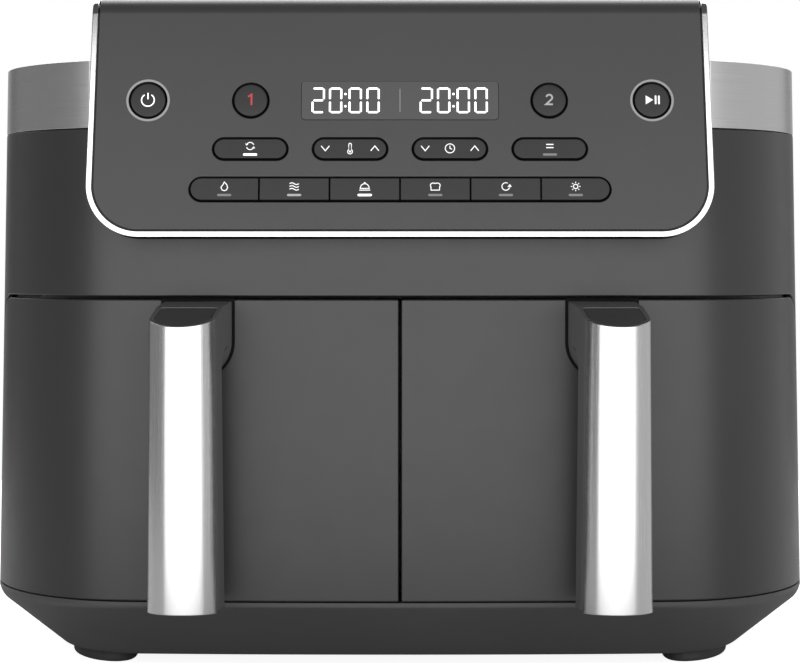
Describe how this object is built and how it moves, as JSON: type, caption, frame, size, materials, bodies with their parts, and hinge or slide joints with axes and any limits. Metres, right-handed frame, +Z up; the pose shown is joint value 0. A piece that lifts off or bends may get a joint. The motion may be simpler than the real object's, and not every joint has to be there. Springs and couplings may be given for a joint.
{
  "type": "air fryer",
  "caption": "Two-drawer air fryer with a leaning control panel, steel band, hanging drawer handles, lift-out crisper plates and a fan over each drawer.",
  "frame": {"origin": "middle of the footprint on the worktop", "axes": "+Z up, -Y towards the user (drawers pull along -Y), +X to the user's right"},
  "size_m": [0.394, 0.3517, 0.313],
  "materials": {
    "charcoal_plastic": "moulded, fine satin texture",
    "panel_plastic": "smooth satin",
    "dark_plastic": "matt",
    "button_plastic": "smooth satin",
    "display_glass": "glossy tinted window",
    "brushed_steel": "brushed",
    "chrome_trim": "polished",
    "rubber": "matt",
    "nonstick_coating": "fine dark non-stick coating",
    "sheet_metal": "plain sheet",
    "heating_element": "heat-darkened tube",
    "fan_metal": "stamped sheet",
    "motor_metal": "plated can",
    "circuit_board": "green board"
  },
  "bodies": {
    "housing": {"base_tray": "charcoal_plastic", "main_shell": "charcoal_plastic", "steel_band": "brushed_steel", "top_cover": "charcoal_plastic", "front_frame": "dark_plastic", "rear_vent": "dark_plastic", "cord_gland": "rubber", "control_panel": "panel_plastic", "panel_trim": "chrome_trim", "display_window": "display_glass", "control_board": "circuit_board", "motor_deck": "sheet_metal", "power_board": "circuit_board", "switch_board": "circuit_board", "left_front_foot": "rubber", "left_rear_foot": "rubber", "left_liner": "sheet_metal", "left_heater": "heating_element", "left_fan_guard": "sheet_metal", "left_motor": "motor_metal", "right_front_foot": "rubber", "right_rear_foot": "rubber", "right_liner": "sheet_metal", "right_heater": "heating_element", "right_fan_guard": "sheet_metal", "right_motor": "motor_metal"},
    "left_drawer": {"left_drawer_front": "charcoal_plastic", "left_drawer_back": "dark_plastic", "left_pan": "nonstick_coating", "left_handle_core": "dark_plastic", "left_handle_trim": "brushed_steel", "left_handle_cap": "dark_plastic"},
    "left_plate": {"left_crisper_plate": "nonstick_coating"},
    "left_rotor": {"left_motor_shaft": "brushed_steel", "left_convection_fan": "fan_metal", "left_cooling_fan": "dark_plastic"},
    "right_drawer": {"right_drawer_front": "charcoal_plastic", "right_drawer_back": "dark_plastic", "right_pan": "nonstick_coating", "right_handle_core": "dark_plastic", "right_handle_trim": "brushed_steel", "right_handle_cap": "dark_plastic"},
    "right_plate": {"right_crisper_plate": "nonstick_coating"},
    "right_rotor": {"right_motor_shaft": "brushed_steel", "right_convection_fan": "fan_metal", "right_cooling_fan": "dark_plastic"},
    "power_button": {"power_button": "button_plastic"},
    "zone_1_button": {"zone_1_button": "button_plastic"},
    "zone_2_button": {"zone_2_button": "button_plastic"},
    "start_button": {"start_button": "button_plastic"},
    "sync_button": {"sync_button": "button_plastic"},
    "match_button": {"match_button": "button_plastic"},
    "function_button_1": {"function_button_1": "button_plastic"},
    "function_button_2": {"function_button_2": "button_plastic"},
    "function_button_3": {"function_button_3": "button_plastic"},
    "function_button_4": {"function_button_4": "button_plastic"},
    "function_button_5": {"function_button_5": "button_plastic"},
    "function_button_6": {"function_button_6": "button_plastic"},
    "temperature_rocker": {"temperature_rocker": "button_plastic"},
    "time_rocker": {"time_rocker": "button_plastic"}
  },
  "joints": [
    {"name": "left_drawer_slide", "type": "slide", "parent": "housing", "child": "left_drawer", "axis": [0, -1, 0], "range_m": [0, 0.235]},
    {"name": "left_plate_lift", "type": "slide", "parent": "left_drawer", "child": "left_plate", "axis": [0, 0, 1], "range_m": [0, 0.094]},
    {"name": "left_fan_spin", "type": "hinge", "parent": "housing", "child": "left_rotor", "pos_m": [-0.0865, 0.022, 0.19], "axis": [0, 0, 1], "continuous": true},
    {"name": "right_drawer_slide", "type": "slide", "parent": "housing", "child": "right_drawer", "axis": [0, -1, 0], "range_m": [0, 0.235]},
    {"name": "right_plate_lift", "type": "slide", "parent": "right_drawer", "child": "right_plate", "axis": [0, 0, 1], "range_m": [0, 0.094]},
    {"name": "right_fan_spin", "type": "hinge", "parent": "housing", "child": "right_rotor", "pos_m": [0.0865, 0.022, 0.19], "axis": [0, 0, 1], "continuous": true},
    {"name": "power_button_press", "type": "slide", "parent": "housing", "child": "power_button", "axis": [0, 0.9703, -0.2419], "range_m": [0, 0.0008], "stiffness_N_per_m": 1500, "springref_m": -0.0006},
    {"name": "zone_1_button_press", "type": "slide", "parent": "housing", "child": "zone_1_button", "axis": [0, 0.9703, -0.2419], "range_m": [0, 0.0008], "stiffness_N_per_m": 1500, "springref_m": -0.0006},
    {"name": "zone_2_button_press", "type": "slide", "parent": "housing", "child": "zone_2_button", "axis": [0, 0.9703, -0.2419], "range_m": [0, 0.0008], "stiffness_N_per_m": 1500, "springref_m": -0.0006},
    {"name": "start_button_press", "type": "slide", "parent": "housing", "child": "start_button", "axis": [0, 0.9703, -0.2419], "range_m": [0, 0.0008], "stiffness_N_per_m": 1500, "springref_m": -0.0006},
    {"name": "sync_button_press", "type": "slide", "parent": "housing", "child": "sync_button", "axis": [0, 0.9703, -0.2419], "range_m": [0, 0.0008], "stiffness_N_per_m": 1500, "springref_m": -0.0006},
    {"name": "match_button_press", "type": "slide", "parent": "housing", "child": "match_button", "axis": [0, 0.9703, -0.2419], "range_m": [0, 0.0008], "stiffness_N_per_m": 1500, "springref_m": -0.0006},
    {"name": "function_button_1_press", "type": "slide", "parent": "housing", "child": "function_button_1", "axis": [0, 0.9703, -0.2419], "range_m": [0, 0.0008], "stiffness_N_per_m": 1500, "springref_m": -0.0006},
    {"name": "function_button_2_press", "type": "slide", "parent": "housing", "child": "function_button_2", "axis": [0, 0.9703, -0.2419], "range_m": [0, 0.0008], "stiffness_N_per_m": 1500, "springref_m": -0.0006},
    {"name": "function_button_3_press", "type": "slide", "parent": "housing", "child": "function_button_3", "axis": [0, 0.9703, -0.2419], "range_m": [0, 0.0008], "stiffness_N_per_m": 1500, "springref_m": -0.0006},
    {"name": "function_button_4_press", "type": "slide", "parent": "housing", "child": "function_button_4", "axis": [0, 0.9703, -0.2419], "range_m": [0, 0.0008], "stiffness_N_per_m": 1500, "springref_m": -0.0006},
    {"name": "function_button_5_press", "type": "slide", "parent": "housing", "child": "function_button_5", "axis": [0, 0.9703, -0.2419], "range_m": [0, 0.0008], "stiffness_N_per_m": 1500, "springref_m": -0.0006},
    {"name": "function_button_6_press", "type": "slide", "parent": "housing", "child": "function_button_6", "axis": [0, 0.9703, -0.2419], "range_m": [0, 0.0008], "stiffness_N_per_m": 1500, "springref_m": -0.0006},
    {"name": "temperature_rocker_tilt", "type": "hinge", "parent": "housing", "child": "temperature_rocker", "pos_m": [-0.0226, -0.13325, 0.2436], "axis": [0, 0.2419, 0.9703], "range_deg": [-2, 2], "stiffness_Nm_per_rad": 0.4},
    {"name": "time_rocker_tilt", "type": "hinge", "parent": "housing", "child": "time_rocker", "pos_m": [0.0226, -0.13325, 0.2436], "axis": [0, 0.2419, 0.9703], "range_deg": [-2, 2], "stiffness_Nm_per_rad": 0.4}
  ]
}
